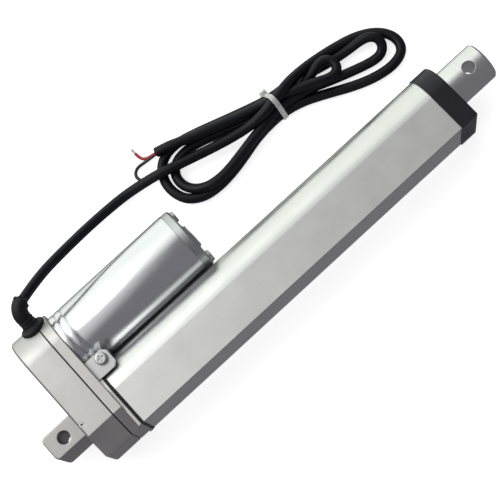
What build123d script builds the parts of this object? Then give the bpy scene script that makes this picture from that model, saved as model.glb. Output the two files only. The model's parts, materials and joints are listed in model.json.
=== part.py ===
from build123d import *
import os
from math import acos, cos, degrees, hypot, pi, radians, sin, sqrt, tan

# A 12 V tubular linear actuator, retracted: a motor lies beside a D-section tube, a gearbox at the
# back links the two, and a lead screw drives the rod. X runs along the rod towards its tip, Z is up,
# and the origin is the centre of the rear pivot hole, on the rod's axis. Sizes are in mm.

# ---- driving dimensions ----
PIVOT_SPACING = 255.0   # rear hole to front hole, rod in
STROKE = 150.0
PIVOT_R = 3.2           # both pivot holes
ROD_R = 10.0
ROD_BORE_R = 8.0
SCREW_LEAD = 4.0        # rod travel for each turn of the screw
SCREW_R = 5.0
RUNNING = 0.08          # radial clearance of a running fit
LOOSE = 0.15            # radial clearance of a hole that is only passed through
BUSH_CLEAR = 0.05       # radial clearance of a shaft in its bush
SNUG = 0.05             # radial clearance of a part pushed into the tube

# ---- tube ----
TUBE_X0 = 32.4
TUBE_X1 = 231.5
TUBE_R = 15.0           # the round side and the two flats
TUBE_W = 20.2           # rod axis to the flat side
TUBE_WALL = 2.0
CHANNEL_Y = -15.3       # screw channels in the tube's two square corners
CHANNEL_Z = 10.6
CHANNEL_R = 3.3
CHANNELS = [(CHANNEL_Y, CHANNEL_Z), (CHANNEL_Y, -CHANNEL_Z)]
M3_R = 1.5
M3_HEAD_R = 2.7
M3_HEAD = 2.4
M3_SINK = 2.6           # depth of a counterbore for the head

# ---- front cap ----
CAP_X1 = TUBE_X1 + 10.0
CAP_PROUD = 0.5
SPIGOT_X0 = TUBE_X1 - 8.0
GUIDE_R = ROD_R + 1.6
SEAL_X = (TUBE_X1 + 2.2, TUBE_X1 + 4.4)
SEAL_R = ROD_R + 1.8
WIPER_X0 = CAP_X1 - 4.0
WIPER_R = ROD_R + 2.4

# ---- gearbox ----
BOX_X0 = 8.6
BOX_REAR_WALL = 4.6
BOX_WALL = 2.5
BOX_X1 = 24.0
GASKET = 0.6
PLATE_X0 = BOX_X1 + GASKET
PLATE_X1 = 29.5
SEAT_X1 = 31.0          # raised seat round the tube's end
SEAT_WIDER = 1.2
BOX_Z = 18.0            # half height; the box and the motor rest on the floor
FLOOR_Z = -BOX_Z
BOX_SIDE_Y = -20.5
BOX_SIDE_Z = 11.6
BOX_BEVEL_Y = -8.5      # where the bevel meets the flat top
BOX_END_Y = 34.2        # centre of the round end
BOX_BOSS_R = 2.9
BOX_SCREWS = [(-10.0, 12.4), (-10.0, -12.4), (38.0, 13.0), (38.0, -13.0)]

# ---- motor ----
MOTOR_Y = 32.4
MOTOR_R = 17.2
MOTOR_WALL = 1.3
CAN_X1 = 101.6
BELL_X1 = 105.8
HUB_X1 = 107.2
HUB_R = 6.0
STUD_Y = 12.8           # the bell's two raised bosses, from the motor's axis
STUD_R = 3.0
STUD_LONG = 1.6
SHAFT_R = 1.6
BUSH_R = SHAFT_R + 1.6
BUSH_LONG = 4.0
CUP_FLOOR = 1.4
GROOVES_X = (32.6, 36.4)
GROOVE_DEEP = 0.5
GROOVE_WIDE = 0.8
MOTOR_SCREW_Z = 10.0
MOTOR_SCREWS = [(MOTOR_Y, MOTOR_SCREW_Z), (MOTOR_Y, -MOTOR_SCREW_Z)]
MAGNET_X = (46.0, 92.0)
MAGNET_THICK = 2.6
MAGNET_GAP = 3.5        # half the gap between the two magnets
CORE_X = (52.0, 86.0)
ARMATURE_R = 12.7
POLES = 5
COMMUTATOR_X = (93.0, 98.9)
COMMUTATOR_R = 4.2
BRUSH_Z = (4.25, 9.0)

# ---- clamp lug ----
LUG_X1 = 41.5
LUG_Y = (8.0, 18.6)
LUG_Z = (4.0, 14.6)
LUG_SCREW = (37.0, 14.9)
LUG_HEAD_R = 3.0
LUG_HEAD = 2.2

# ---- gears ----
MODULE = 0.7
PINION_TEETH = 12
IDLER_BIG_TEETH = 36
IDLER_SMALL_TEETH = 12
SCREW_GEAR_TEETH = 33
BIG_X = (13.8, 17.2)    # the plane of the pinion and the large idler gear
SMALL_X = (18.6, 23.4)  # the plane of the small idler gear and the screw's gear
AXLE_R = 2.0
AXLE_X = (BOX_X0 + 1.6, PLATE_X0 + 3.0)
SHAFT_HOLE_R = 5.0      # the plate's hole for the motor's shaft and pinion

# ---- clevis ----
TANG_X0 = -9.3
TANG_Y = 6.5
TANG_Z = 12.5
TENON_Y = 5.0
TENON_Z = 10.0
PIN_X = 10.6
PIN_Y = -2.4
PIN_R = 1.25
PIN_Z0 = TENON_Z - 6.0

# ---- screw, bearing and nut ----
JOURNAL_R = 4.0
SCREW_X0 = 17.5
SCREW_X1 = 225.0
TIP_X0 = SCREW_X1 - 6.0
TIP_R = JOURNAL_R - 0.5
CLIP_X = (17.6, 18.4)
CLIP_DEEP = 0.6
KEY_HALF = 1.0
BEARING_X = (26.0, 33.0)
BEARING_R = 11.0
BALL_PITCH_R = 7.5
BALL_R = 1.9
BALLS = 7
RACE_GAP = 1.1          # from the balls' pitch circle to each race
RETAINER = 1.4
COLLAR_X = (33.1, 36.0)
COLLAR_R = 6.2
NUT_X = (38.2, 60.2)
NUT_SPIGOT = 7.5
NUT_Y = -11.5
NUT_PIN_R = 1.5
ROD_X1 = 264.5
PLUG_X0 = 243.0

# ---- limit switches ----
STRIP_Y = (-17.9, -16.5)
STRIP_Z = 6.5
SWITCH_TOP = -12.4
SWITCH_LONG = 12.8
SWITCH_BEHIND = 2.4     # case behind the plunger's middle
SWITCH_DEEP = 5.8
PLUNGER_PROUD = 1.7
PLUNGER_TRAVEL = 0.9
PLUNGER_R = 0.8
PLUNGER_SOCKET = 2.9
PLUNGER_ROOT = 1.9
DIODE_R = 1.35
DIODE_LONG = 5.0
DIODES_X = (64.0, 190.0)
REAR_PLUNGER_X = NUT_X[0] - PLUNGER_R - 0.3
FRONT_PLUNGER_X = NUT_X[1] + STROKE + PLUNGER_R + 0.3

# ---- cable ----
CABLE_R = 2.5
BOOT_TILT = 35.0        # degrees above level
BOOT_X = 22.6
BOOT_FOOT_R = 6.5
BOOT_NECK_R = 4.2
BOOT_KNEE = 9.4         # how far the neck goes out before it bends
BOOT_STEM_R = 4.2
CABLE_ROUTE = [
    (27.4, 60.8, 15.6),
    (40.0, 65.0, 12.4),
    (57.0, 69.0, 2.6),
    (75.0, 72.8, -8.6),
    (95.0, 74.2, -15.4),
    (113.2, 70.6, -11.6),
]
HANK_TOP = FLOOR_Z + 11.5
HANK_OUTLINE = [
    (113.6, 51.0), (113.6, 80.4), (132.0, 81.0), (165.0, 71.5), (184.0, 65.0), (205.0, 62.0), (240.0, 59.6),
    (247.8, 44.0), (245.0, 31.0), (222.0, 30.5), (196.0, 42.5), (176.0, 48.0), (160.0, 44.2), (132.0, 43.2),
]
TIE_X = (178.4, 181.6)
TIE_Y = (48.6, 63.4)    # the waist that the tie pulls in
TIE_THICK = 0.9
CORE_D = 1.6
CORE_Z = FLOOR_Z + CORE_D / 2
RED_ROUTE = [(115.4, 81.0), (114.6, 84.4), (114.4, 88.0)]
BLACK_ROUTE = [(113.5, 79.6), (109.6, 80.4), (106.8, 78.4), (107.0, 75.0)]
CORE_BEND = 2.0
TIP_LONG = 2.6


# ---- helpers ----
def across(x):
    """The plane across the rod at x: its local x is Y and its local y is Z."""
    return Plane.YZ.offset(x)


def along(face, x0, x1):
    """A flat outline in Y and Z, carried along X."""
    return extrude(across(x0) * face, x1 - x0, dir=(1, 0, 0))


def rod(x0, x1, r, y=0.0, z=0.0):
    return along(Pos(y, z) * Circle(r), x0, x1)


def ring(x0, x1, r_out, r_in, y=0.0, z=0.0):
    return along(Pos(y, z) * (Circle(r_out) - Circle(r_in)), x0, x1)


def block(x, y, z):
    """A box between the low and high values of x, y and z."""
    size = [b - a for a, b in (x, y, z)]
    return Pos(*[(a + b) / 2 for a, b in (x, y, z)]) * Box(*size)


def upright(x, y, z0, z1, r):
    return Pos(x, y, (z0 + z1) / 2) * Cylinder(r, z1 - z0)


def d_face(r, width):
    """Round on the +Y side, square on the other."""
    half_round = Circle(r) & Pos(r / 2, 0) * Rectangle(r, 2 * r)
    return half_round + Pos(-width / 2, 0) * Rectangle(width, 2 * r)


def box_face(inset=0.0):
    side, bevel, top = BOX_SIDE_Y + inset, BOX_BEVEL_Y + inset / 4, BOX_Z - inset
    low = BOX_SIDE_Z - inset * 0.7
    corners = [(side, -low), (bevel, -top), (BOX_END_Y, -top), (BOX_END_Y, top), (bevel, top), (side, low)]
    return Polygon(*corners, align=None) + Pos(BOX_END_Y, 0) * Circle(top)


def cap_screw(x_head, x_end, y, z):
    """An M3 socket-head screw along X: its head begins at x_head, its shank ends at x_end."""
    way = 1 if x_end > x_head else -1
    seat = x_head + way * M3_HEAD
    key = across(x_head) * (Pos(y, z) * RegularPolygon(M3_HEAD_R * 0.5, 6))
    body = rod(*sorted((x_head, seat)), M3_HEAD_R, y, z) + rod(*sorted((seat, x_end)), M3_R, y, z)
    return body - extrude(key, way * M3_HEAD * 0.6)


# ---- gears ----
def idler_centre():
    """The idler stands where both pairs mesh; its axle is a little off the line of the two shafts."""
    to_screw = MODULE * (IDLER_SMALL_TEETH + SCREW_GEAR_TEETH) / 2
    to_motor = MODULE * (IDLER_BIG_TEETH + PINION_TEETH) / 2
    y = (MOTOR_Y**2 + to_screw**2 - to_motor**2) / (2 * MOTOR_Y)
    return y, sqrt(to_screw**2 - y**2)


IDLER_Y, IDLER_Z = idler_centre()


def involute(angle):
    return tan(angle) - angle


def gear_face(teeth, tooth_at=0.0, slack=0.14, pressure=radians(20)):
    """Involute teeth, thinned by the slack that lets them run free. One is centred on tooth_at, in
    degrees."""
    pitch = MODULE * teeth / 2
    base, tip, root = pitch * cos(pressure), pitch + 0.85 * MODULE, pitch - 1.25 * MODULE
    half = pi / (2 * teeth) - slack / (2 * pitch) + involute(pressure)

    def flank(r):
        return half - involute(acos(min(1.0, base / r)))

    radii = sorted({root, max(base, root + 0.05), (base + pitch) / 2, pitch, (pitch + tip) / 2, tip})
    points = []
    for k in range(teeth):
        middle = radians(tooth_at) + 2 * pi * k / teeth
        sides = [(r, middle - flank(r)) for r in radii] + [(r, middle + flank(r)) for r in reversed(radii)]
        points += [(r * cos(a), r * sin(a)) for r, a in sides]
    return Polygon(*points, align=None)


def bearing_angle(y0, z0, y1, z1):
    """The direction from one axle to the next, in degrees."""
    turn = degrees(acos((y1 - y0) / hypot(y1 - y0, z1 - z0)))
    return turn if z1 >= z0 else -turn


def meshing(teeth, direction):
    """The tooth angle that puts a gap at the given direction."""
    return direction + 180.0 / teeth


# ---- gearbox ----
def rear_housing():
    shell = along(box_face(), BOX_X0, BOX_X1) - along(box_face(BOX_WALL), BOX_X0 + BOX_REAR_WALL, BOX_X1)
    shell = chamfer(shell.faces().sort_by(Axis.X)[0].outer_wire().edges(), 1.0)
    bosses = [rod(BOX_X0 + BOX_REAR_WALL - 0.1, BOX_X1, BOX_BOSS_R, y, z) for y, z in BOX_SCREWS]
    shell = (shell + bosses) & along(box_face(), BOX_X0, BOX_X1)
    for y, z in BOX_SCREWS:
        shell -= rod(BOX_X0, BOX_X1, M3_R + LOOSE, y, z)
        shell -= rod(BOX_X0, BOX_X0 + M3_SINK, M3_HEAD_R + LOOSE, y, z)
    shell -= block((BOX_X0, BOX_X0 + BOX_REAR_WALL), (-TENON_Y, TENON_Y), (-TENON_Z, TENON_Z))
    shell -= upright(PIN_X, PIN_Y, PIN_Z0, BOX_Z, PIN_R)
    shell -= rod(AXLE_X[0], BOX_X0 + BOX_REAR_WALL, AXLE_R, IDLER_Y, IDLER_Z)
    return shell - boot_hole()


def housing_gasket():
    seal = box_face(0.3) - box_face(BOX_WALL)
    for y, z in BOX_SCREWS:
        seal += Pos(y, z) * Circle(BOX_BOSS_R)
    seal = seal & box_face(0.3)
    for y, z in BOX_SCREWS:
        seal -= Pos(y, z) * Circle(M3_R + LOOSE)
    return along(seal, BOX_X1, PLATE_X0) - boot_hole()


def flange_plate():
    plate = along(box_face(), PLATE_X0, PLATE_X1)
    plate += along(d_face(TUBE_R + SEAT_WIDER, TUBE_W + 0.3), PLATE_X1, SEAT_X1)
    plate -= rod(PLATE_X1, SEAT_X1, MOTOR_R + 0.1, MOTOR_Y)
    plate -= rod(BEARING_X[0], SEAT_X1, BEARING_R)
    plate -= rod(PLATE_X0, BEARING_X[0], BEARING_R - 2.0)
    plate -= rod(PLATE_X0, PLATE_X1, SHAFT_HOLE_R, MOTOR_Y)
    for y, z in MOTOR_SCREWS + CHANNELS:
        plate -= rod(PLATE_X0, SEAT_X1, M3_R, y, z)
        plate -= rod(PLATE_X0, PLATE_X0 + M3_HEAD, M3_HEAD_R, y, z)
    for y, z in BOX_SCREWS:
        plate -= rod(PLATE_X0, PLATE_X0 + 4.0, M3_R, y, z)
    plate -= rod(PLATE_X0, AXLE_X[1], AXLE_R, IDLER_Y, IDLER_Z)
    return plate - boot_hole()


def housing_screws():
    return [cap_screw(BOX_X0 + 0.2, PLATE_X0 + 3.8, y, z) for y, z in BOX_SCREWS]


def rear_clevis():
    tang = block((TANG_X0, BOX_X0), (-TANG_Y, TANG_Y), (-TANG_Z, TANG_Z))
    tang = fillet(tang.edges().filter_by(Axis.Z).group_by(Axis.X)[0], 2.5)
    tang = chamfer(tang.faces().sort_by(Axis.Z)[-1].edges().group_by(Axis.X)[0], 0.5)
    tang += block((BOX_X0, BOX_X0 + BOX_REAR_WALL), (-TENON_Y, TENON_Y), (-TENON_Z, TENON_Z))
    return tang - upright(0, 0, -TANG_Z, TANG_Z, PIVOT_R) - upright(PIN_X, PIN_Y, PIN_Z0, TENON_Z, PIN_R)


def clevis_pin():
    """A hollow roll pin through the housing into the tang's tenon."""
    pin = upright(PIN_X, PIN_Y, PIN_Z0, BOX_Z, PIN_R)
    return pin - upright(PIN_X, PIN_Y, BOX_Z - 4, BOX_Z, PIN_R * 0.45)


def idler_axle():
    return rod(*AXLE_X, AXLE_R, IDLER_Y, IDLER_Z)


# ---- tube and front cap ----
def outer_tube():
    cavity = d_face(TUBE_R - TUBE_WALL, TUBE_W - TUBE_WALL)
    section = d_face(TUBE_R, TUBE_W) - cavity
    for y, z in CHANNELS:
        section += Pos(y, z) * Circle(CHANNEL_R)
        section -= Pos(y, z) * Circle(M3_R)
    return along(section & d_face(TUBE_R, TUBE_W), TUBE_X0, TUBE_X1)


def tube_gasket():
    seal = d_face(TUBE_R + 0.7, TUBE_W + 0.2) - Circle(BEARING_R + 1.0)
    seal -= Pos(MOTOR_Y, 0) * Circle(MOTOR_R + 0.1)
    for y, z in CHANNELS:
        seal -= Pos(y, z) * Circle(M3_R)
    return along(seal, SEAT_X1, TUBE_X0)


def tube_screws():
    return [cap_screw(PLATE_X0, TUBE_X0 + 10.0, y, z) for y, z in CHANNELS]


def front_cap():
    rim = d_face(TUBE_R + CAP_PROUD, TUBE_W + CAP_PROUD)
    cap = along(rim, TUBE_X1, CAP_X1)
    cap = chamfer(cap.faces().sort_by(Axis.X)[-1].outer_wire().edges(), 0.8)
    cap += rod(SPIGOT_X0, TUBE_X1, TUBE_R - TUBE_WALL - SNUG)
    cap -= rod(SPIGOT_X0, CAP_X1, ROD_R + 0.4)
    cap -= rod(SPIGOT_X0, TUBE_X1 + 1.0, GUIDE_R)
    cap -= rod(*SEAL_X, SEAL_R)
    cap -= rod(WIPER_X0, CAP_X1, WIPER_R)
    for y, z in CHANNELS:
        cap -= rod(TUBE_X1, CAP_X1, M3_R, y, z)
        cap -= rod(CAP_X1 - M3_SINK, CAP_X1, M3_HEAD_R, y, z)
    return cap


def cap_screws():
    return [cap_screw(CAP_X1 - 0.2, TUBE_X1 - 10.0, y, z) for y, z in CHANNELS]


def rod_guide_bush():
    return ring(SPIGOT_X0, TUBE_X1 + 1.0, GUIDE_R, ROD_R + RUNNING)


def rod_seal_ring():
    return ring(*SEAL_X, SEAL_R, ROD_R + 0.03)


def rod_wiper():
    """A lipped ring: the lip leans out towards the rod's tip."""
    wiper = ring(WIPER_X0, CAP_X1, WIPER_R, ROD_R + 0.04)
    return wiper - ring(CAP_X1 - 1.4, CAP_X1, ROD_R + 1.5, ROD_R + 0.7)


# ---- limit switches ----
def switch_strip():
    return block((COLLAR_X[0], SCREW_X1 - 1.5), STRIP_Y, (-STRIP_Z, STRIP_Z))


def switch_block(x):
    case = block(
        (x - SWITCH_BEHIND, x - SWITCH_BEHIND + SWITCH_LONG),
        (STRIP_Y[1], SWITCH_TOP),
        (-SWITCH_DEEP / 2, SWITCH_DEEP / 2),
    )
    return case - cross_pin(x, SWITCH_TOP - PLUNGER_SOCKET, SWITCH_TOP, PLUNGER_R + RUNNING)


def cross_pin(x, y0, y1, r):
    return Pos(x, (y0 + y1) / 2, 0) * Rot(90, 0, 0) * Cylinder(r, y1 - y0)


def limit_switches():
    return [switch_block(REAR_PLUNGER_X), switch_block(FRONT_PLUNGER_X)]


def plunger(x):
    return cross_pin(x, SWITCH_TOP - PLUNGER_ROOT, SWITCH_TOP + PLUNGER_PROUD, PLUNGER_R)


def diodes():
    return [rod(x, x + DIODE_LONG, DIODE_R, STRIP_Y[1] + DIODE_R) for x in DIODES_X]


# ---- motor ----
def motor_can():
    """A drawn steel cup with two rolled grooves near its closed end."""
    outline = [(PLATE_X1, BUSH_R), (PLATE_X1, MOTOR_R)]
    for x in GROOVES_X:
        middle = x + GROOVE_WIDE / 2
        outline += [(x, MOTOR_R), (middle, MOTOR_R - GROOVE_DEEP), (x + GROOVE_WIDE, MOTOR_R)]
    outline += [(CAN_X1, MOTOR_R), (CAN_X1, MOTOR_R - MOTOR_WALL)]
    outline += [(PLATE_X1 + CUP_FLOOR, MOTOR_R - MOTOR_WALL), (PLATE_X1 + CUP_FLOOR, BUSH_R)]
    cup = Polygon(*[(x, MOTOR_Y + r) for x, r in outline], align=None)
    can = revolve(cup, Axis((0, MOTOR_Y, 0), (1, 0, 0)))
    for y, z in MOTOR_SCREWS:
        can -= rod(PLATE_X1, PLATE_X1 + CUP_FLOOR, M3_R, y, z)
    return can


def motor_front_bush():
    bore, end = SHAFT_R + BUSH_CLEAR, PLATE_X1 + BUSH_LONG
    collar = ring(PLATE_X1, end, BUSH_R, bore, MOTOR_Y)
    return collar + ring(PLATE_X1 + CUP_FLOOR, end, BUSH_R + 1.4, bore, MOTOR_Y)


def motor_end_bell():
    """The can's lid: a hub over the rear bush and a raised boss each side of it."""
    bell = rod(CAN_X1, BELL_X1, MOTOR_R - 0.2, MOTOR_Y) + rod(BELL_X1, HUB_X1, HUB_R, MOTOR_Y)
    rim = bell.faces().filter_by(Axis.X).sort_by(SortBy.AREA)[-2:].edges().group_by(Axis.X)[-1]
    bell = chamfer(rim, 1.0)
    for way in (-1, 1):
        stud = rod(BELL_X1 - 0.5, BELL_X1 + STUD_LONG, STUD_R, MOTOR_Y + way * STUD_Y)
        bell += fillet(stud.edges().group_by(Axis.X)[-1], 0.7)
    inner = MOTOR_R - MOTOR_WALL
    bell += ring(CAN_X1 - 3.0, CAN_X1, inner, inner - 1.2, MOTOR_Y)
    return bell - rod(CAN_X1, HUB_X1 - 0.8, BUSH_R, MOTOR_Y)


def motor_rear_bush():
    return ring(CAN_X1, CAN_X1 + BUSH_LONG, BUSH_R, SHAFT_R + BUSH_CLEAR, MOTOR_Y)


def motor_magnets():
    """Two arc magnets, one each side of the armature."""
    outer = MOTOR_R - MOTOR_WALL
    arc = ring(*MAGNET_X, outer, outer - MAGNET_THICK, MOTOR_Y)
    y = (MOTOR_Y - outer, MOTOR_Y + outer)
    return [arc & block(MAGNET_X, y, tuple(sorted((way * MAGNET_GAP, way * outer)))) for way in (-1, 1)]


def brush_plate():
    return ring(COMMUTATOR_X[1] + 0.1, COMMUTATOR_X[1] + 1.3, MOTOR_R - MOTOR_WALL - 1.4, 5.2, MOTOR_Y)


def brush_side(x, half_wide, z0, z1):
    """The same block on each side of the commutator."""
    y = (MOTOR_Y - half_wide, MOTOR_Y + half_wide)
    return [block(x, y, tuple(sorted((way * z0, way * z1)))) for way in (-1, 1)]


def brushes():
    return brush_side((COMMUTATOR_X[1] - 3.3, COMMUTATOR_X[1]), 1.8, *BRUSH_Z)


def brush_springs():
    """Flat springs that press the brushes on the commutator."""
    return brush_side((COMMUTATOR_X[1] - 2.7, COMMUTATOR_X[1] + 0.1), 1.2, BRUSH_Z[1], BRUSH_Z[1] + 0.5)


def motor_screws():
    return [cap_screw(PLATE_X0, PLATE_X1 + 3.5, y, z) for y, z in MOTOR_SCREWS]


def clamp_lug():
    """A small cast lug in the valley between tube and motor."""
    lug = block((PLATE_X1, LUG_X1), LUG_Y, LUG_Z)
    lug = chamfer(lug.edges().filter_by(Axis.Z).group_by(Axis.X)[-1], 2.0)
    lug -= rod(PLATE_X1, SEAT_X1, TUBE_R + SEAT_WIDER)
    lug -= rod(PLATE_X1, LUG_X1, TUBE_R + 0.9) + rod(PLATE_X1, LUG_X1, MOTOR_R + LOOSE, MOTOR_Y)
    return lug - upright(*LUG_SCREW, *LUG_Z, M3_R)


def clamp_screw():
    """A cross-head screw down into the lug."""
    top = LUG_Z[1] + LUG_HEAD
    head = fillet(upright(*LUG_SCREW, LUG_Z[1], top, LUG_HEAD_R).edges().group_by(Axis.Z)[-1], 0.8)
    for size in ((3.4, 0.8, 1.4), (0.8, 3.4, 1.4)):
        head -= Pos(*LUG_SCREW, top) * Box(*size)
    return head + upright(*LUG_SCREW, LUG_Z[1] - 5.1, LUG_Z[1], M3_R)


# ---- rotor ----
def motor_shaft():
    return rod(BIG_X[0] - 0.4, HUB_X1 - 1.4, SHAFT_R, MOTOR_Y)


def armature_core():
    face = Circle(ARMATURE_R) - Circle(SHAFT_R)
    for k in range(POLES):
        slot = Rot(0, 0, 360 / POLES * (k + 0.5))
        face -= slot * Pos(11.0, 0) * Rectangle(6.0, 2.2)
        face -= slot * Pos(8.0, 0) * Circle(2.2)
    return along(Pos(MOTOR_Y, 0) * face, *CORE_X)


def armature_windings():
    """The end turns, in one bundle at each end of the core."""
    ends = []
    for x0, x1 in ((MAGNET_X[0], CORE_X[0]), (CORE_X[1], MAGNET_X[1])):
        bundle = ring(x0, x1, ARMATURE_R - 1.9, SHAFT_R + 0.6, MOTOR_Y)
        ends.append(fillet(bundle.edges().filter_by(GeomType.CIRCLE).sort_by(SortBy.RADIUS)[-2:], 2.0))
    return ends


def commutator():
    face = Circle(COMMUTATOR_R) - Circle(SHAFT_R)
    for k in range(POLES):
        face -= Rot(0, 0, 360 / POLES * k) * Pos(COMMUTATOR_R - 0.3, 0) * Rectangle(1.4, 0.5)
    return along(Pos(MOTOR_Y, 0) * face, *COMMUTATOR_X)


def motor_pinion():
    facing = bearing_angle(MOTOR_Y, 0.0, IDLER_Y, IDLER_Z)
    face = gear_face(PINION_TEETH, meshing(PINION_TEETH, facing)) - Circle(SHAFT_R)
    return along(Pos(MOTOR_Y, 0) * face, *BIG_X)


# ---- idler ----
def idler_gear():
    at, bore = Pos(IDLER_Y, IDLER_Z), Circle(AXLE_R + BUSH_CLEAR)
    big = gear_face(IDLER_BIG_TEETH, bearing_angle(IDLER_Y, IDLER_Z, MOTOR_Y, 0.0)) - bore
    small = gear_face(IDLER_SMALL_TEETH, bearing_angle(IDLER_Y, IDLER_Z, 0.0, 0.0)) - bore
    return along(at * big, *BIG_X) + along(at * small, BIG_X[1], SMALL_X[1])


# ---- lead screw ----
def lead_screw():
    """Journal, collar, working length and tip. The thread is left plain, at its outer radius."""
    shaft = rod(SCREW_X0, COLLAR_X[0], JOURNAL_R)
    shaft += rod(*COLLAR_X, COLLAR_R) + rod(COLLAR_X[1], TIP_X0, SCREW_R) + rod(TIP_X0, SCREW_X1, TIP_R)
    return shaft - ring(*CLIP_X, JOURNAL_R, JOURNAL_R - CLIP_DEEP) - gear_key()


def screw_gear():
    face = gear_face(SCREW_GEAR_TEETH, meshing(SCREW_GEAR_TEETH, bearing_angle(0, 0, IDLER_Y, IDLER_Z)))
    face -= Circle(JOURNAL_R) + Pos(0, JOURNAL_R) * Rectangle(2 * KEY_HALF, 2 * KEY_HALF)
    for k in range(6):
        face -= Rot(0, 0, 60 * k + 30) * Pos(7.6, 0) * Circle(1.5)
    return along(face, *SMALL_X) + ring(SMALL_X[1], BEARING_X[0], JOURNAL_R + 1.4, JOURNAL_R)


def gear_key():
    return block(SMALL_X, (-KEY_HALF, KEY_HALF), (JOURNAL_R - KEY_HALF, JOURNAL_R + KEY_HALF))


def gear_circlip():
    clip = ring(*CLIP_X, JOURNAL_R + 1.6, JOURNAL_R - CLIP_DEEP)
    return clip - block(CLIP_X, (-0.9, 0.9), (-JOURNAL_R - 3.0, 0.0))


def race_groove():
    section = Pos(sum(BEARING_X) / 2, BALL_PITCH_R) * Circle(BALL_R + 0.04)
    return revolve(section, Axis.X)


def bearing_outer_race():
    return ring(*BEARING_X, BEARING_R, BALL_PITCH_R + RACE_GAP) - race_groove()


def bearing_inner_race():
    return ring(*BEARING_X, BALL_PITCH_R - RACE_GAP, JOURNAL_R) - race_groove()


def bearing_balls():
    turns = [2 * pi * k / BALLS for k in range(BALLS)]
    ball = Pos(sum(BEARING_X) / 2, 0, 0) * Sphere(BALL_R)
    return [Pos(0, BALL_PITCH_R * cos(a), BALL_PITCH_R * sin(a)) * ball for a in turns]


def bearing_retainer():
    x0 = BEARING_X[1]
    return ring(x0, x0 + RETAINER, TUBE_R - TUBE_WALL - SNUG, BALL_PITCH_R + RACE_GAP + 0.2)


def screw_tip_guide():
    return ring(TIP_X0, SCREW_X1, ROD_BORE_R - RUNNING, TIP_R)


# ---- rod ----
def drive_nut():
    """Its flat side keeps it from turning in the tube, and its spigot carries the rod."""
    body = along(d_face(TUBE_R - TUBE_WALL - LOOSE, -NUT_Y), *NUT_X)
    body += rod(NUT_X[1], NUT_X[1] + NUT_SPIGOT, ROD_BORE_R)
    body -= rod(NUT_X[0], NUT_X[1] + NUT_SPIGOT, SCREW_R + RUNNING)
    for pin in nut_pins():
        body -= pin
    return body


def nut_pins():
    x = NUT_X[1] + NUT_SPIGOT / 2
    reach = (SCREW_R + 0.5, ROD_R - 0.5)
    return [upright(x, 0, *sorted(way * r for r in reach), NUT_PIN_R) for way in (-1, 1)]


def rod_tube():
    tube = ring(NUT_X[1], ROD_X1, ROD_R, ROD_BORE_R)
    tube = chamfer(tube.edges().group_by(Axis.X)[-1].sort_by(SortBy.RADIUS)[-1:], 1.0)
    for pin in nut_pins():
        tube -= pin
    return tube - upright(PIVOT_SPACING, 0, -ROD_R, ROD_R, PIVOT_R)


def rod_eye_plug():
    return rod(PLUG_X0, ROD_X1 - 0.4, ROD_BORE_R) - upright(PIVOT_SPACING, 0, -ROD_R, ROD_R, PIVOT_R)


# ---- cable ----
def boot_plane(out=0.0):
    """Where the boot leaves the round end of the box: local z points out along it."""
    tilt = radians(BOOT_TILT)
    reach = BOX_Z + out
    origin = (BOOT_X, BOX_END_Y + reach * cos(tilt), reach * sin(tilt))
    return Plane(origin=origin, x_dir=(1, 0, 0), z_dir=(0, cos(tilt), sin(tilt)))


def boot_solid(r, out0, out1):
    return extrude(boot_plane(out0) * Circle(r), out1 - out0)


def boot_hole():
    return boot_solid(BOOT_STEM_R, -6.0, 3.0)


def cable_boot():
    """A rubber foot on the box, then a neck that bends towards the cable."""
    foot = boot_solid(BOOT_FOOT_R, -1.4, 1.4) - rod(BOX_X0, PLATE_X1, BOX_Z, BOX_END_Y)
    start, knee = boot_plane(1.0).origin, boot_plane(BOOT_KNEE).origin
    end, onward = Vector(*CABLE_ROUTE[0]), Vector(*CABLE_ROUTE[1])
    back = end - (onward - end).normalized() * 4.5
    path = FilletPolyline(start, knee, back, end, radius=[2.4, 2.2])
    neck = sweep(Plane(origin=path @ 0, z_dir=path % 0) * Circle(BOOT_NECK_R), path)
    return foot + boot_solid(BOOT_STEM_R, -5.9, 1.2) + neck


def cable_path():
    points = [Vector(*p) for p in CABLE_ROUTE]
    runs = [b - a for a, b in zip(points, points[1:])]
    radii = []
    for before, after in zip(runs, runs[1:]):
        turn = radians(before.get_angle(after))
        radii.append(0.45 * min(before.length, after.length) / tan(turn / 2))
    print("cable radii", [round(r, 1) for r in radii])
    return FilletPolyline(*points, radius=radii)


def cable():
    path = cable_path()
    lead = sweep(Plane(origin=path @ 0, z_dir=path % 0) * Circle(CABLE_R), path)
    print("cable volume over section times length", round(lead.volume / (pi * CABLE_R**2 * path.length), 4))
    return lead


def cable_hank():
    """The tied loops, as one solid of their outer shape, drawn in where the tie holds them."""
    outline = fillet(Polygon(*HANK_OUTLINE, align=None).vertices(), 4.0)
    hank = extrude(Plane.XY.offset(FLOOR_Z) * outline, HANK_TOP - FLOOR_Z, dir=(0, 0, 1))
    (y0, y1), whole = TIE_Y, (FLOOR_Z, HANK_TOP)
    waist = block(TIE_X, (y0 - 9, y0), whole) + block(TIE_X, (y1, y1 + 9), whole)
    return hank - waist - block(TIE_X, TIE_Y, (FLOOR_Z, FLOOR_Z + TIE_THICK))


def cable_tie():
    y0, y1 = TIE_Y
    outer = block(TIE_X, (y0 - TIE_THICK, y1 + TIE_THICK), (FLOOR_Z, HANK_TOP + TIE_THICK))
    return outer - block(TIE_X, TIE_Y, (FLOOR_Z + TIE_THICK, HANK_TOP))


def core(route):
    path = FilletPolyline(*[(x, y, CORE_Z) for x, y in route], radius=CORE_BEND)
    return sweep(Plane(origin=path @ 0, z_dir=path % 0) * Circle(CORE_D / 2), path)


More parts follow.
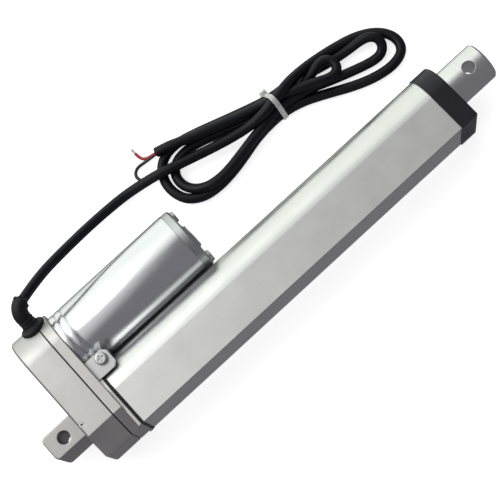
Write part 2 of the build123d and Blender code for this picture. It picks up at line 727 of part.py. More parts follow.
def core_tip(route):
    (x0, y0), (x1, y1) = route[-2:]
    ahead = Vector(x1 - x0, y1 - y0, 0).normalized()
    return extrude(Plane(origin=(x1, y1, CORE_Z), z_dir=ahead) * Circle(CORE_D * 0.375), TIP_LONG)


def core_tips():
    return [core_tip(RED_ROUTE), core_tip(BLACK_ROUTE)]


NODES = {
    "rear_housing": rear_housing,
    "housing_gasket": housing_gasket,
    "flange_plate": flange_plate,
    "housing_screws": housing_screws,
    "rear_clevis": rear_clevis,
    "clevis_pin": clevis_pin,
    "idler_axle": idler_axle,
    "outer_tube": outer_tube,
    "tube_gasket": tube_gasket,
    "tube_screws": tube_screws,
    "front_cap": front_cap,
    "cap_screws": cap_screws,
    "rod_guide_bush": rod_guide_bush,
    "rod_seal_ring": rod_seal_ring,
    "rod_wiper": rod_wiper,
    "switch_strip": switch_strip,
    "limit_switches": limit_switches,
    "rear_switch_plunger": lambda: plunger(REAR_PLUNGER_X),
    "front_switch_plunger": lambda: plunger(FRONT_PLUNGER_X),
    "diodes": diodes,
    "motor_can": motor_can,
    "motor_end_bell": motor_end_bell,
    "motor_front_bush": motor_front_bush,
    "motor_rear_bush": motor_rear_bush,
    "motor_magnets": motor_magnets,
    "brush_plate": brush_plate,
    "brushes": brushes,
    "brush_springs": brush_springs,
    "motor_screws": motor_screws,
    "clamp_lug": clamp_lug,
    "clamp_screw": clamp_screw,
    "motor_shaft": motor_shaft,
    "armature_core": armature_core,
    "armature_windings": armature_windings,
    "commutator": commutator,
    "motor_pinion": motor_pinion,
    "idler_gear": idler_gear,
    "lead_screw": lead_screw,
    "screw_gear": screw_gear,
    "gear_key": gear_key,
    "gear_circlip": gear_circlip,
    "bearing_outer_race": bearing_outer_race,
    "bearing_inner_race": bearing_inner_race,
    "bearing_balls": bearing_balls,
    "bearing_retainer": bearing_retainer,
    "screw_tip_guide": screw_tip_guide,
    "drive_nut": drive_nut,
    "nut_pins": nut_pins,
    "rod_tube": rod_tube,
    "rod_eye_plug": rod_eye_plug,
    "cable_boot": cable_boot,
    "cable": cable,
    "cable_hank": cable_hank,
    "cable_tie": cable_tie,
    "core_red": lambda: core(RED_ROUTE),
    "core_black": lambda: core(BLACK_ROUTE),
    "core_tips": core_tips,
}

os.makedirs("parts", exist_ok=True)
for name, make in NODES.items():
    made = make()
    export_step(Compound(children=list(made)) if isinstance(made, list) else made, f"parts/{name}.step")
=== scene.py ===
import json
import math

import bmesh
import bpy
from mathutils import Matrix, Vector


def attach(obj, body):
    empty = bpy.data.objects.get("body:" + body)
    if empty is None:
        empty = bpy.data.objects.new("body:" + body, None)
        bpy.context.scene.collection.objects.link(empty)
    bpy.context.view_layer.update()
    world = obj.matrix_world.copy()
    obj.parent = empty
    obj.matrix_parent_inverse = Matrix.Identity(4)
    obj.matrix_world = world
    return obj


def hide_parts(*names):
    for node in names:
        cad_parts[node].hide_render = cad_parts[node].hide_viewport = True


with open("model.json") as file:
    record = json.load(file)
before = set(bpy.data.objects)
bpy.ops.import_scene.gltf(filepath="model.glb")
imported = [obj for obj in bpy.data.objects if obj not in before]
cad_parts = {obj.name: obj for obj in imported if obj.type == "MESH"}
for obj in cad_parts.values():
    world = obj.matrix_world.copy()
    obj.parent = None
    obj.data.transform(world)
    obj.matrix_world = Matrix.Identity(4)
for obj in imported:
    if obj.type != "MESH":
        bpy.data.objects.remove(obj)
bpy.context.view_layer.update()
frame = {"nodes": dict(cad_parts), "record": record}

# Shapes are written in millimetres; the camera, the floor's place and the lamp are in metres.
MM = 0.001
FLOOR_Z = -18.0


def metres(points):
    return [Vector(p) * MM for p in points]


# ---- camera ----
def add_camera(place, target, up_hint, lens):
    """A camera at one place that looks at another, on a 36 mm sensor."""
    forward = (target - place).normalized()
    right = forward.cross(up_hint).normalized()
    turn = Matrix((right, right.cross(forward), -forward)).transposed().to_4x4()
    data = bpy.data.cameras.new("camera")
    data.lens, data.sensor_width = lens, 36.0
    data.clip_start, data.clip_end = 0.02, 20.0
    camera = bpy.data.objects.new("camera", data)
    camera.matrix_world = Matrix.Translation(place) @ turn
    bpy.context.scene.collection.objects.link(camera)
    bpy.context.scene.camera = camera


CAMERA_ROLL = 0.833      # angle on the floor of the direction that points up in the picture
add_camera(
    place=Vector((0.0864, -0.1545, 0.7599)),
    target=Vector((0.1221, 0.0084, 0.0)),
    up_hint=Vector((math.cos(CAMERA_ROLL), math.sin(CAMERA_ROLL), 0.0)),
    lens=118.8,
)


# ---- materials ----
EDGE_FLAT, EDGE_SHARP = 0.995, 0.86      # cosine between true and rounded normals: no edge, full edge
DUST = (0.32, 0.31, 0.30)
RUBBED = (0.35, 0.35, 0.36)


class Shader:
    """A Principled surface, with nodes added by short calls."""

    def __init__(self, name, colour, metallic, roughness, **constants):
        self.material = bpy.data.materials.new(name)
        self.material.use_nodes = True
        self.nodes = self.material.node_tree.nodes
        self.links = self.material.node_tree.links
        self.face = self.nodes["Principled BSDF"]
        self.face.inputs["Base Color"].default_value = (*colour, 1)
        self.face.inputs["Metallic"].default_value = metallic
        self.face.inputs["Roughness"].default_value = roughness
        for socket, value in constants.items():
            self.face.inputs[socket.replace("_", " ")].default_value = value
        self.place = self.nodes.new("ShaderNodeTexCoord").outputs["Object"]
        self.normal = None

    def add(self, kind, inputs=None, **settings):
        node = self.nodes.new("ShaderNode" + kind)
        for key, value in settings.items():
            setattr(node, key, value)
        for key, value in (inputs or {}).items():
            if isinstance(value, bpy.types.NodeSocket):
                self.links.new(value, node.inputs[key])
            else:
                node.inputs[key].default_value = value
        return node

    def noise(self, scale, stretch=(1, 1, 1), detail=3.0, rough=0.5):
        """Noise with that many waves to the metre, times the stretch on each axis."""
        spread = self.add("Mapping", {"Vector": self.place, "Scale": [scale * s for s in stretch]})
        return self.add("TexNoise", {
            "Vector": spread.outputs[0], "Scale": 1.0, "Detail": detail, "Roughness": rough,
        }).outputs[0]

    def remap(self, value, low, high, to_low, to_high):
        return self.add("MapRange", {
            "Value": value, "From Min": low, "From Max": high, "To Min": to_low, "To Max": to_high,
        }).outputs[0]

    def join(self, a, b, how):
        return self.add("Math", {0: a, 1: b}, operation=how).outputs[0]

    def blend(self, factor, a, b):
        node = self.add("Mix", {0: factor}, data_type="RGBA")
        for socket, value in ((node.inputs[6], a), (node.inputs[7], b)):
            if isinstance(value, bpy.types.NodeSocket):
                self.links.new(value, socket)
            else:
                socket.default_value = (*value, 1)
        return node.outputs[2]

    def bump(self, height, depth):
        """Relief of that depth in millimetres, on top of any before it."""
        inputs = {"Height": height, "Distance": depth * MM, "Strength": 1.0}
        if self.normal is not None:
            inputs["Normal"] = self.normal
        self.normal = self.add("Bump", inputs).outputs[0]

    def soft_edges(self, radius):
        """Rounds the look of sharp edges, and says where they are."""
        bevel = self.add("Bevel", {"Radius": radius * MM}, samples=6)
        self.normal = bevel.outputs[0]
        flat = self.add("NewGeometry").outputs["Normal"]
        dot = self.add("VectorMath", {0: bevel.outputs[0], 1: flat}, operation="DOT_PRODUCT")
        return self.remap(dot.outputs["Value"], EDGE_FLAT, EDGE_SHARP, 0.0, 1.0)

    def paint(self, colour):
        self.links.new(colour, self.face.inputs["Base Color"])

    def polish(self, roughness):
        self.links.new(roughness, self.face.inputs["Roughness"])

    def done(self):
        if self.normal is not None:
            self.links.new(self.normal, self.face.inputs["Normal"])
        return self.material


def shade(colour, by):
    """A colour made that many times as bright."""
    return tuple(min(1.0, c * by) for c in colour)


def metal(name, colour, roughness, lines=None, line_depth=0.004, cast=0.0, cloud=35.0, vary=0.05,
          wear_and_highlight=0.25, edge=0.25, **constants):
    """Bare or plated metal: machining lines or a cast grain, cloudy tone, and brighter edges that are
    partly worn metal and partly a painted highlight.
    """
    s = Shader(name, colour, 1.0, roughness, **constants)
    edges = s.soft_edges(edge)
    tone = s.noise(cloud, detail=4.0)
    body = s.blend(s.remap(tone, 0.3, 0.7, 0, 1), shade(colour, 1 - vary), shade(colour, 1 + vary))
    finish = s.remap(s.noise(cloud * 2.3, detail=5.0), 0.3, 0.7, roughness * 0.85, roughness * 1.18)
    if lines:
        fine = s.noise(1.0, lines, detail=4.0, rough=0.6)
        body = s.blend(s.remap(fine, 0.35, 0.65, 0, 0.35), body, shade(colour, 0.86))
        finish = s.join(finish, s.remap(fine, 0.3, 0.7, -0.05, 0.06), "ADD")
        s.bump(fine, line_depth)
    if cast:
        pits = s.noise(1400.0, detail=3.0, rough=0.6)
        s.bump(pits, cast)
        s.bump(s.noise(260.0, detail=2.0), cast * 2)
        body = s.blend(s.remap(pits, 0.5, 0.75, 0, 0.25), body, shade(colour, 0.8))
    # Brighter edges, up to 1.35 times the colour: partly worn metal, partly a painted highlight along
    # the edges.
    edge_breakup = s.remap(s.noise(420.0, detail=6.0, rough=0.7), 0.38, 0.62, 0.2, 1.0)
    edge_wear_and_highlight = s.join(edges, edge_breakup, "MULTIPLY")
    body = s.blend(s.join(edge_wear_and_highlight, wear_and_highlight, "MULTIPLY"), body, shade(colour, 1.35))
    s.paint(body)
    s.polish(finish)
    return s.done()


def polymer(name, colour, roughness, grain=900.0, depth=0.012, vary=0.25, dust=0.06, edge=0.2,
            **constants):
    """Moulded plastic or rubber: a fine moulded grain, faint dust, paler rubbed edges."""
    s = Shader(name, colour, 0.0, roughness, **constants)
    edges = s.soft_edges(edge) if edge else None
    tone = s.remap(s.noise(45.0, detail=4.0), 0.3, 0.7, 0, 1)
    body = s.blend(tone, shade(colour, 1 - vary), shade(colour, 1 + vary))
    motes = s.remap(s.noise(700.0, detail=5.0, rough=0.7), 0.56, 0.74, 0, dust)
    body = s.blend(motes, body, DUST)
    if edges is not None:
        body = s.blend(s.join(edges, 0.12, "MULTIPLY"), body, RUBBED)
    s.paint(body)
    s.polish(s.remap(s.noise(120.0, detail=4.0), 0.3, 0.7, roughness * 0.82, roughness * 1.2))
    s.bump(s.noise(grain, detail=3.0), depth)
    return s.done()


def wound(name, colour):
    """Enamelled wire laid side by side."""
    s = Shader(name, colour, 1.0, 0.28)
    turns = s.add("TexWave", {
        "Vector": s.place, "Scale": 700.0, "Distortion": 2.0, "Detail": 2.0,
    }, bands_direction="Y")
    s.paint(s.blend(turns.outputs["Fac"], shade(colour, 0.35), colour))
    s.bump(turns.outputs["Fac"], 0.15)
    s.polish(s.remap(s.noise(300.0), 0.3, 0.7, 0.2, 0.4))
    return s.done()


def board(name, colour):
    """Solder mask over copper tracks."""
    s = Shader(name, colour, 0.0, 0.35)
    spread = s.add("Mapping", {"Vector": s.place, "Scale": (120.0, 1.0, 700.0)})
    tracks = s.add("TexVoronoi", {"Vector": spread.outputs[0], "Scale": 1.0}, distance="MANHATTAN")
    line = s.remap(tracks.outputs["Distance"], 0.42, 0.5, 0, 1)
    s.paint(s.blend(line, colour, shade(colour, 1.7)))
    s.bump(line, 0.04)
    s.polish(s.remap(s.noise(200.0), 0.3, 0.7, 0.28, 0.45))
    return s.done()


def clear_nylon(name, colour):
    """Half-clear nylon with fine cross teeth."""
    s = Shader(name, colour, 0.0, 0.3, Transmission_Weight=0.35, IOR=1.5)
    teeth = s.add("TexWave", {"Vector": s.place, "Scale": 420.0}, bands_direction="Y")
    s.bump(teeth.outputs["Fac"], 0.05)
    s.paint(s.blend(s.remap(s.noise(300.0), 0.3, 0.7, 0, 1), shade(colour, 0.9), colour))
    s.polish(s.remap(s.noise(500.0, detail=4.0), 0.3, 0.7, 0.22, 0.42))
    return s.done()


ALONG = (6.0, 1500.0, 1500.0)            # extrusion lines, in waves to the metre on each axis
ACROSS = (1800.0, 30.0, 30.0)            # turned or ground round the axis
LAMINATIONS = (2200.0, 60.0, 60.0)       # stacked sheets
DRAWN = (300.0, 900.0, 900.0)            # fine wire
FINISHES = {
    "housing_paint": metal(
        "housing_paint", (0.50, 0.49, 0.48), 0.42, cast=0.012, vary=0.04, wear_and_highlight=0.3, edge=0.5,
    ),
    "cast_aluminium": metal("cast_aluminium", (0.52, 0.52, 0.525), 0.36, cast=0.01, edge=0.35),
    # Strong bright edges here: a painted highlight along the edges as well as wear.
    "clevis_metal": metal(
        "clevis_metal", (0.42, 0.41, 0.40), 0.42, cast=0.018, vary=0.09, wear_and_highlight=0.8, edge=0.7,
    ),
    "anodised_tube": metal(
        "anodised_tube", (0.66, 0.665, 0.655), 0.34, lines=ALONG, line_depth=0.003, vary=0.025,
    ),
    "rod_steel": metal(
        "rod_steel", (0.66, 0.665, 0.66), 0.27, lines=ACROSS, line_depth=0.002, vary=0.03, edge=0.4,
    ),
    "motor_shell": metal(
        "motor_shell", (0.73, 0.74, 0.77), 0.2, lines=ALONG, line_depth=0.0012, vary=0.03,
    ),
    "hardware_steel": metal("hardware_steel", (0.56, 0.56, 0.57), 0.25, lines=ACROSS, line_depth=0.003),
    "bronze": metal("bronze", (0.62, 0.42, 0.20), 0.3, lines=ACROSS),
    "armature_steel": metal(
        "armature_steel", (0.35, 0.35, 0.36), 0.4, lines=LAMINATIONS, line_depth=0.02,
    ),
    "tinned_wire": metal("tinned_wire", (0.62, 0.62, 0.61), 0.3, lines=DRAWN, edge=0.1),
    "bell_plastic": metal("bell_plastic", (0.46, 0.47, 0.48), 0.38, cast=0.01, vary=0.08, edge=0.35),
    "black_plastic": polymer(
        "black_plastic", (0.007, 0.006, 0.011), 0.42, dust=0.02, edge=0.35, Specular_IOR_Level=0.32,
    ),
    "black_rubber": polymer(
        "black_rubber", (0.006, 0.006, 0.008), 0.5, depth=0.02, vary=0.3, dust=0.012,
        Specular_IOR_Level=0.28,
    ),
    "cable_jacket": polymer(
        "cable_jacket", (0.0045, 0.0042, 0.0075), 0.42, grain=500.0, depth=0.02, vary=0.3, dust=0.006,
        edge=0.0, Specular_IOR_Level=0.22,
    ),
    "white_nylon": polymer("white_nylon", (0.72, 0.71, 0.67), 0.45, vary=0.05, dust=0.02),
    "magnet_ferrite": polymer("magnet_ferrite", (0.05, 0.05, 0.055), 0.6, depth=0.03),
    "carbon": polymer("carbon", (0.035, 0.035, 0.035), 0.5),
    "red_wire": polymer("red_wire", (0.42, 0.03, 0.035), 0.35, vary=0.12, dust=0.03, edge=0.0),
    "black_wire": polymer("black_wire", (0.02, 0.02, 0.022), 0.35, dust=0.03, edge=0.0),
    "copper_wire": wound("copper_wire", (0.72, 0.32, 0.14)),
    "circuit_board": board("circuit_board", (0.02, 0.14, 0.06)),
    "tie_clear": clear_nylon("tie_clear", (0.78, 0.79, 0.78)),
}


def dress(thing, slot_name):
    """Gives a CAD node or a new piece its finish."""
    if len(thing.material_slots):
        for held in thing.material_slots:
            held.material = FINISHES[slot_name]
    else:
        thing.data.materials.append(FINISHES[slot_name])


for subpart in frame["record"]["subparts"]:
    dress(frame["nodes"][subpart["node"]], subpart["material_slot"])


def settle(piece, slot_name, *stands_for, body="root"):
    """Finishes a new piece that stands for one or more CAD nodes."""
    dress(piece, slot_name)
    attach(piece, body)
    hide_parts(*stands_for)
    return piece


# ---- cable ----
CABLE_D = 5.0
CABLE_ROUTE = [   # from the boot down to the floor
    (27.4, 60.8, 15.6), (40.0, 65.0, 12.4), (57.0, 69.0, 2.6), (75.0, 72.8, -8.6), (95.0, 74.2, -15.4),
]
ON_FLOOR = FLOOR_Z + CABLE_D / 2
ARRIVING = [      # over the left ends of the loops, and into the tie
    (107.0, 71.6, -13.0), (115.6, 69.0, -10.4), (123.0, 66.6, -10.2), (132.0, 64.0, -10.8),
    (142.0, 61.2, -11.6), (152.0, 58.4, -11.4), (162.0, 56.0, -10.2), (171.0, 54.8, -7.6),
    (180.0, 55.8, -5.9),
]
# The loops, in the order that the cable runs through them.
RIGHT_OUTER = [
    (190.0, 58.0, -5.8), (199.0, 59.2, -9.8), (209.0, 59.4, -13.8), (220.0, 58.0, ON_FLOOR),
    (231.0, 55.2, ON_FLOOR), (239.6, 50.6, ON_FLOOR), (244.8, 44.4, ON_FLOOR), (245.8, 38.0, ON_FLOOR),
    (243.0, 33.2, ON_FLOOR), (236.6, 31.3, ON_FLOOR), (229.0, 31.9, ON_FLOOR), (220.7, 34.2, ON_FLOOR),
    (212.0, 38.0, ON_FLOOR), (201.9, 43.4, ON_FLOOR), (191.1, 48.6, ON_FLOOR), (180.0, 51.2, ON_FLOOR),
]
LEFT_OUTER = [
    (170.0, 51.2, ON_FLOOR), (161.5, 50.2, ON_FLOOR), (153.5, 48.2, ON_FLOOR), (144.0, 46.2, ON_FLOOR),
    (134.0, 45.2, ON_FLOOR), (124.5, 46.4, ON_FLOOR), (117.4, 51.2, ON_FLOOR), (114.6, 58.4, ON_FLOOR),
    (115.2, 66.0, ON_FLOOR), (119.0, 72.4, ON_FLOOR), (125.2, 75.6, ON_FLOOR), (133.0, 75.8, ON_FLOOR),
    (142.0, 73.4, ON_FLOOR), (153.0, 69.6, ON_FLOOR), (166.5, 65.0, ON_FLOOR), (180.0, 60.8, ON_FLOOR),
]
RIGHT_MIDDLE = [
    (190.0, 59.9, ON_FLOOR), (200.0, 57.6, ON_FLOOR), (209.5, 55.0, ON_FLOOR), (219.0, 53.0, ON_FLOOR),
    (225.6, 52.0, -15.0), (231.0, 51.0, -13.0), (235.6, 49.4, -11.6), (238.6, 46.2, -11.6),
    (238.5, 42.2, -13.2), (235.4, 39.5, -15.2), (230.4, 39.4, ON_FLOOR), (223.0, 41.5, ON_FLOOR),
    (215.2, 44.2, ON_FLOOR), (207.8, 46.8, -15.2), (199.5, 49.8, -14.0), (190.0, 52.0, -12.4),
    (180.0, 53.4, -11.3),
]
LEFT_MIDDLE = [
    (170.0, 52.0, -11.2), (161.0, 50.4, -10.9), (152.5, 48.8, -10.9), (144.0, 47.3, -11.0),
    (136.0, 46.8, -11.3), (128.6, 48.2, -12.2), (123.0, 52.4, -14.2), (120.2, 58.6, ON_FLOOR),
    (121.2, 65.0, ON_FLOOR), (126.2, 69.2, ON_FLOOR), (134.0, 70.0, ON_FLOOR), (142.0, 68.2, ON_FLOOR),
    (150.5, 65.2, ON_FLOOR), (160.0, 61.6, ON_FLOOR), (170.0, 58.4, ON_FLOOR), (180.0, 56.0, ON_FLOOR),
]
RIGHT_INNER = [
    (190.0, 55.2, ON_FLOOR), (197.6, 54.6, -13.5), (203.0, 54.5, -11.2), (207.3, 55.5, -10.4),
    (211.6, 55.6, -10.4), (214.6, 53.0, -10.6), (214.8, 49.1, -10.6), (212.0, 46.3, -10.2),
    (207.3, 46.5, -9.5), (200.4, 49.6, -8.2), (191.4, 54.2, -8.6), (180.0, 58.5, -11.3),
]
LEAVING = [       # out over the outer loop, and down to its end
    (168.0, 61.6, -11.3), (153.0, 67.0, -10.7), (142.0, 70.8, -10.6), (134.0, 73.8, -10.6),
    (127.6, 76.6, -10.8), (121.8, 78.6, -12.6),
]
STRANDS = [
    CABLE_ROUTE, ARRIVING, RIGHT_OUTER, LEFT_OUTER, RIGHT_MIDDLE, LEFT_MIDDLE, RIGHT_INNER, LEAVING,
]


def spline_curve(name, points, radius, rounds=6):
    """A tube on one smooth open spline, with these as its control points."""
    data = bpy.data.curves.new(name, "CURVE")
    data.dimensions = "3D"
    data.bevel_depth, data.bevel_resolution, data.resolution_u = radius, rounds, 6
    data.use_fill_caps = True
    line = data.splines.new("NURBS")
    line.points.add(len(points) - 1)
    for slot, point in zip(line.points, points):
        slot.co = (*point, 1.0)
    line.order_u = 3
    line.use_endpoint_u = True
    curve = bpy.data.objects.new(name, data)
    bpy.context.scene.collection.objects.link(curve)
    return curve


def mesh_piece(name, build, smooth=True):
    """A new object whose mesh build() fills in."""
    mesh = bmesh.new()
    build(mesh)
    bmesh.ops.recalc_face_normals(mesh, faces=mesh.faces)
    data = bpy.data.meshes.new(name)
    mesh.to_mesh(data)
    mesh.free()
    for face in data.polygons:
        face.use_smooth = smooth
    data.set_sharp_from_angle(angle=math.radians(30))
    piece = bpy.data.objects.new(name, data)
    bpy.context.scene.collection.objects.link(piece)
    return piece


cable_points = metres([p for strand in STRANDS for p in strand])
cable = settle(
    spline_curve("cable_run", cable_points, CABLE_D / 2 * MM), "cable_jacket", "cable", "cable_hank",
)

CORE_D = 1.6
CORE_ON_FLOOR = FLOOR_Z + CORE_D / 2
RED_CORE = [
    (124.0, 77.9, -12.0), (119.9, 79.3, -14.0), (116.8, 80.6, -16.4), (114.9, 82.2, CORE_ON_FLOOR),
    (114.2, 84.4, CORE_ON_FLOOR), (114.1, 86.8, CORE_ON_FLOOR),
]
BLACK_CORE = [
    (124.0, 77.5, -12.0), (119.2, 78.9, -14.8), (114.6, 80.2, CORE_ON_FLOOR),
    (110.0, 80.8, CORE_ON_FLOOR), (106.9, 78.8, CORE_ON_FLOOR), (106.6, 75.8, CORE_ON_FLOOR),
    (107.8, 73.6, CORE_ON_FLOOR),
]
red, black = [
    settle(spline_curve(name, metres(route), CORE_D / 2 * MM, rounds=4), slot_name, node)
    for name, route, slot_name, node in (
        ("core_red_run", RED_CORE, "red_wire", "core_red"),
        ("core_black_run", BLACK_CORE, "black_wire", "core_black"),
    )
]


def circle(mesh, centre, side, other, radius, sides):
    """A ring of new vertices, in the plane of the two directions."""
    turns = [2 * math.pi * k / sides for k in range(sides)]
    return [
        mesh.verts.new(centre + radius * (side * math.cos(t) + other * math.sin(t))) for t in turns
    ]


def bridge(mesh, rings):
    """Faces between each ring and the next."""
    for a, b in zip(rings, rings[1:]):
        for k in range(len(a)):
            mesh.faces.new((a[k], a[(k + 1) % len(a)], b[(k + 1) % len(a)], b[k]))


def tube_rings(mesh, centres, radii, sides):
    """Skins circles that follow a line of points, and closes both ends."""
    along = [(b - a).normalized() for a, b in zip(centres, centres[1:])]
    along = [along[0]] + [(a + b).normalized() for a, b in zip(along, along[1:])] + [along[-1]]
    side = along[0].orthogonal().normalized()
    rings = []
    for centre, way, radius in zip(centres, along, radii):
        side = (side - way * side.dot(way)).normalized()
        rings.append(circle(mesh, centre, side, way.cross(side), radius, sides))
    bridge(mesh, rings)
    mesh.faces.new(rings[0])
    mesh.faces.new(rings[-1])


STRAND_R, STRAND_PITCH = 0.22, 0.42
STRAND_LONG, STRAND_UNEVEN, STRAND_HIDDEN = 2.6, 0.25, 0.3


def strand_tips(mesh):
    """Seven fine tinned strands out of each core's end: one in the middle and six round it."""
    for route in (RED_CORE, BLACK_CORE):
        before, end = metres(route[-2:])
        ahead = (end - before).normalized()
        side = ahead.orthogonal().normalized()
        for k in range(7):
            reach = 0.0 if k == 0 else STRAND_PITCH * MM
            out = Matrix.Rotation(k * math.pi / 3, 3, ahead) @ side * reach
            length = (STRAND_LONG + STRAND_UNEVEN * math.sin(2.4 * k)) * MM
            steps = [
                end + out - ahead * STRAND_HIDDEN * MM,
                end + out + ahead * length * 0.5,
                end + out * 1.2 + ahead * length,
            ]
            tube_rings(mesh, steps, [STRAND_R * MM] * 3, sides=8)


tips = settle(mesh_piece("core_strands", strand_tips), "tinned_wire", "core_tips")


# ---- cable tie ----
TIE_X = (178.7, 181.3)
TIE_THICK = 0.8
BUNDLE = [        # the outline that the band is pulled round, in Y and height over the floor
    (48.4, 3.0), (48.7, 0.5), (63.2, 0.5), (63.5, 3.2), (61.2, 7.4), (60.2, 9.2),
    (58.0, 14.0), (56.0, 14.8), (53.9, 14.2), (51.4, 9.4), (50.6, 7.2),
]
TIE_BLOCKS = (    # the head and the cut tail over it, from and to in X, Y and height over the floor
    ((178.1, 181.9), (63.9, 66.2), (0.6, 3.6)),
    ((178.9, 181.1), (64.6, 65.3), (3.6, 4.6)),
)
TIE_CLEARANCE = 0.06      # the least height of the band over the floor


def rounded(outline, share=0.25):
    """Rounds each corner of a closed outline over that share of its sides."""
    soft = []
    for k, here in enumerate(outline):
        before, after = Vector(outline[k - 1]), Vector(outline[(k + 1) % len(outline)])
        here = Vector(here)
        start, end = here.lerp(before, share), here.lerp(after, share)
        for t in (0.0, 0.33, 0.67, 1.0):
            soft.append(start.lerp(here, t).lerp(here.lerp(end, t), t))
    return soft


def tie_band(mesh):
    """A flat band pulled round the bundle, with its square head and cut tail."""
    inner = rounded(BUNDLE)
    centre = sum(inner, Vector((0, 0))) / len(inner)
    outer = [p + (p - centre).normalized() * TIE_THICK for p in inner]
    outer = [Vector((p.x, max(p.y, TIE_CLEARANCE))) for p in outer]
    rings = [
        [mesh.verts.new(Vector((x, p.x, FLOOR_Z + p.y)) * MM) for p in loop]
        for x, loop in ((TIE_X[0], inner), (TIE_X[0], outer), (TIE_X[1], outer), (TIE_X[1], inner))
    ]
    bridge(mesh, rings + rings[:1])
    for x, y, z in TIE_BLOCKS:
        for v in bmesh.ops.create_cube(mesh, size=1.0)["verts"]:
            low = Vector((x[0], y[0], FLOOR_Z + z[0]))
            size = Vector((x[1] - x[0], y[1] - y[0], z[1] - z[0]))
            v.co = (low + size * 0.5 + v.co * size) * MM


tie = settle(mesh_piece("tie_band", tie_band, smooth=False), "tie_clear", "cable_tie")
soften = tie.modifiers.new("soften", "BEVEL")
soften.width, soften.segments, soften.limit_method = 0.25 * MM, 2, "ANGLE"


# ---- strain-relief boot ----
BOX_END_Y, BOX_END_R = 34.2, 18.0            # centre and radius of the box's round end
BOOT_X, BOOT_TILT = 22.6, math.radians(35.0)
BOOT_R, BOOT_COLLAR_LONG = 3.9, 1.5
BOOT_KNEE, BOOT_BEND = 11.9, 4.9             # the elbow's corner, out from the box, and its two legs
BOOT_NECK = [     # distance out from the box, and radius there
    (-5.9, 4.1), (-1.35, 4.1), (-1.3, 6.2), (-1.0, 6.45), (0.5, 6.45), (1.05, 6.2), (1.35, 5.6),
    (1.6, 4.7), (2.1, 4.2), (3.0, 3.95), (3.9, 3.9), (4.1, 3.6), (4.7, 3.6), (4.9, 3.9), (5.7, 3.9),
    (5.9, 3.6), (6.5, 3.6), (6.7, 3.9),
]
BOOT_COLLAR = [   # distance back from the boot's end, and radius there
    (1.5, 3.9), (1.3, 4.15), (0.4, 4.15), (0.1, 3.95), (0.0, 3.6),
]


def boot_point(out):
    """A point on the line of the boot's neck, that far out from the round end of the box."""
    reach = BOX_END_R + out
    return Vector((
        BOOT_X, BOX_END_Y + reach * math.cos(BOOT_TILT), reach * math.sin(BOOT_TILT),
    )) * MM


def arc_between(start, corner, end, steps):
    """Points on the arc that rounds a corner; start and end are equally far from it."""
    into, onward = (corner - start).normalized(), (end - corner).normalized()
    turn = into.angle(onward)
    radius = (corner - start).length / math.tan(turn / 2)
    inward = (onward - into * into.dot(onward)).normalized()
    angles = [turn * k / steps for k in range(steps + 1)]
    return [start + into * radius * math.sin(a) + inward * radius * (1 - math.cos(a)) for a in angles]


def boot(mesh):
    """A foot on the box, a neck with two grooves, an elbow, and a collar round the cable."""
    first, second = metres(CABLE_ROUTE[:2])
    ahead = (second - first).normalized()
    corner, leg = boot_point(BOOT_KNEE), BOOT_BEND * MM
    into = (corner - boot_point(0)).normalized()
    onward = (first - ahead * BOOT_COLLAR_LONG * MM - corner).normalized()
    bend = arc_between(corner - into * leg, corner, corner + onward * leg, 10)
    neck = [(boot_point(out), radius) for out, radius in BOOT_NECK]
    collar = [(first - ahead * back * MM, radius) for back, radius in BOOT_COLLAR]
    stations = neck + [(centre, BOOT_R) for centre in bend] + collar
    tube_rings(mesh, [centre for centre, _ in stations], [r * MM for _, r in stations], sides=40)


settle(mesh_piece("boot_moulding", boot), "black_rubber", "cable_boot")


# ---- motor can ----
MOTOR_Y = 32.4
CAN_OUTLINE = [   # X and radius, round the section of the drawn cup with its two rolled grooves
    (29.5, 3.2), (29.5, 16.8), (29.75, 17.1), (30.1, 17.2), (32.45, 17.2), (32.65, 17.1), (32.85, 16.8),
    (33.15, 16.8), (33.35, 17.1), (33.55, 17.2), (36.25, 17.2), (36.45, 17.1), (36.65, 16.8),
    (36.95, 16.8), (37.15, 17.1), (37.35, 17.2), (101.0, 17.2), (101.4, 17.1), (101.6, 16.85),
    (101.6, 15.9), (30.9, 15.9), (30.9, 3.2),
]


def can(mesh):
    """The outline turned round the motor's axis."""
    side, up = Vector((0, 1, 0)), Vector((0, 0, 1))
    rings = [
        circle(mesh, Vector((x, MOTOR_Y, 0)) * MM, side, up, radius * MM, sides=144)
        for x, radius in CAN_OUTLINE
    ]
    bridge(mesh, rings + rings[:1])


settle(mesh_piece("can_shell", can), "motor_shell", "motor_can")


# ---- floor ----
FLOOR_HALF, FLOOR_GAP = 4.0, 0.0001
floor_data = bpy.data.meshes.new("floor")
corners = [(x * FLOOR_HALF, y * FLOOR_HALF, 0) for x, y in ((-1, -1), (1, -1), (1, 1), (-1, 1))]
floor_data.from_pydata(corners, [], [(0, 1, 2, 3)])
floor = bpy.data.objects.new("floor", floor_data)
floor.location = (0.12, 0.03, FLOOR_Z * MM - FLOOR_GAP)
bpy.context.scene.collection.objects.link(floor)
paper = Shader("paper", (0.9, 0.9, 0.9), 0.0, 0.8, Emission_Strength=0.72)
paper.face.inputs["Emission Color"].default_value = (1, 1, 1, 1)
paper.paint(paper.blend(paper.noise(3.0), (0.88, 0.88, 0.88), (0.92, 0.92, 0.92)))
floor_data.materials.append(paper.done())
floor.visible_glossy = False


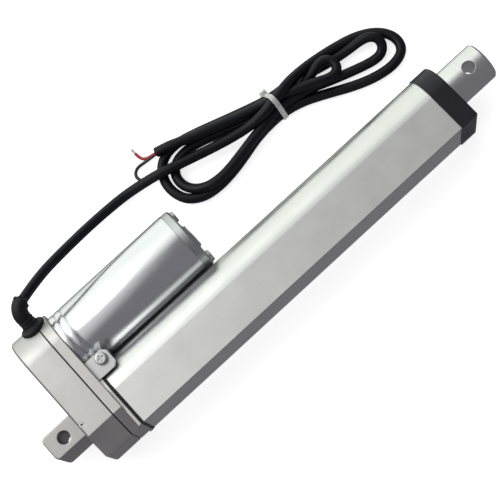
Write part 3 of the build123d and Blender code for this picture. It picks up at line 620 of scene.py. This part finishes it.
# ---- light ----
world = bpy.data.worlds.new("studio")
bpy.context.scene.world = world
world.use_nodes = True
tree = world.node_tree
way = tree.nodes.new("ShaderNodeTexCoord").outputs["Generated"]


def soft_box(direction, low, high, colour):
    """A smooth patch of light round a direction: none at the low cosine, full at the high one."""
    dot = tree.nodes.new("ShaderNodeVectorMath")
    dot.operation = "DOT_PRODUCT"
    tree.links.new(way, dot.inputs[0])
    dot.inputs[1].default_value = Vector(direction).normalized()
    fade = tree.nodes.new("ShaderNodeMapRange")
    fade.interpolation_type = "SMOOTHSTEP"
    tree.links.new(dot.outputs["Value"], fade.inputs["Value"])
    for socket, value in (("From Min", low), ("From Max", high), ("To Min", 0.0), ("To Max", 1.0)):
        fade.inputs[socket].default_value = value
    tint = tree.nodes.new("ShaderNodeVectorMath")
    tint.operation = "SCALE"
    tint.inputs[0].default_value = colour
    tree.links.new(fade.outputs[0], tint.inputs["Scale"])
    return tint.outputs[0]


def added(a, b):
    """The sum of two lights."""
    node = tree.nodes.new("ShaderNodeVectorMath")
    tree.links.new(a, node.inputs[0])
    tree.links.new(b, node.inputs[1])
    return node.outputs[0]


light = soft_box((0, 0, 1), -1.01, -1.0, (0.215, 0.21, 0.225))      # the same from every side
for patch in (
    ((-0.55, 0.35, 0.75), 0.57, 0.95, (0.58, 0.565, 0.56)),         # over the gearbox
    ((0.0, 1.0, 0.25), 0.3, 0.9, (1.05, 1.12, 1.02)),               # low, on the cable's side
):
    light = added(light, soft_box(*patch))
tree.links.new(light, tree.nodes["Background"].inputs["Color"])

lamp_data = bpy.data.lights.new("key", "AREA")
lamp_data.shape, lamp_data.size, lamp_data.energy = "DISK", 0.5, 1.3
lamp = bpy.data.objects.new("key", lamp_data)
lamp.location = (-0.25, 0.45, 0.75)
lamp_target = Vector((0.12, 0.02, 0.0))
lamp.rotation_euler = (lamp_target - lamp.location).to_track_quat("-Z", "Y").to_euler()
bpy.context.scene.collection.objects.link(lamp)

bpy.context.scene.view_settings.view_transform = "Standard"
